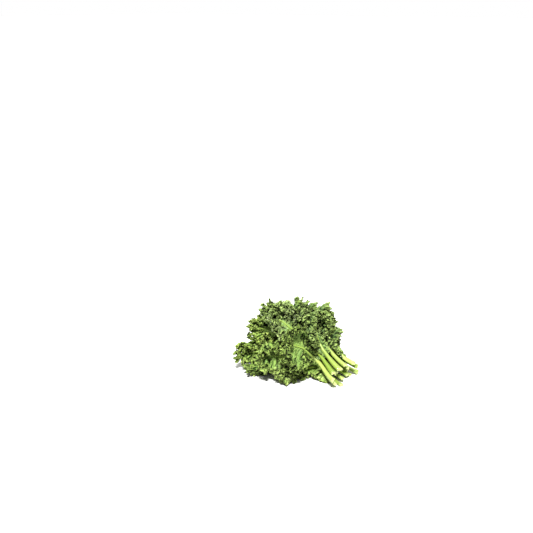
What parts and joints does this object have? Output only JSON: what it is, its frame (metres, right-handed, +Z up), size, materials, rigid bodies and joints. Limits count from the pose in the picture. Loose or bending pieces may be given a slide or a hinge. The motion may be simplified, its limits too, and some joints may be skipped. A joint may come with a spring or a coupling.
{
  "type": "curly kale bunch",
  "caption": "Loose bunch of green curly kale lying on its side: frilled leaves opening in nested rings from a neck of bare stalks with cut ends.",
  "frame": {"origin": "on the surface the bunch lies on, under the middle of its box", "axes": "+X towards the cut ends of the stalks, +Z up, and the leaves open towards -X"},
  "size_m": [0.2989, 0.2825, 0.1711],
  "materials": {
    "kale_leaf": "waxy green leaf, satin, with paler veins and stalks"
  },
  "bodies": {
    "root": {"leaf_outer_top_far": "kale_leaf", "leaf_outer_top_near": "kale_leaf", "leaf_outer_near": "kale_leaf", "leaf_outer_near_low": "kale_leaf", "leaf_outer_far_low": "kale_leaf", "leaf_outer_far": "kale_leaf", "leaf_middle_top": "kale_leaf", "leaf_middle_top_near": "kale_leaf", "leaf_middle_near": "kale_leaf", "leaf_middle_near_low": "kale_leaf", "leaf_middle_far": "kale_leaf", "leaf_middle_top_far": "kale_leaf", "leaf_inner_top_far": "kale_leaf", "leaf_inner_top_near": "kale_leaf", "leaf_inner_near": "kale_leaf", "leaf_inner_low": "kale_leaf", "leaf_inner_far": "kale_leaf", "leaf_heart": "kale_leaf"}
  },
  "joints": []
}
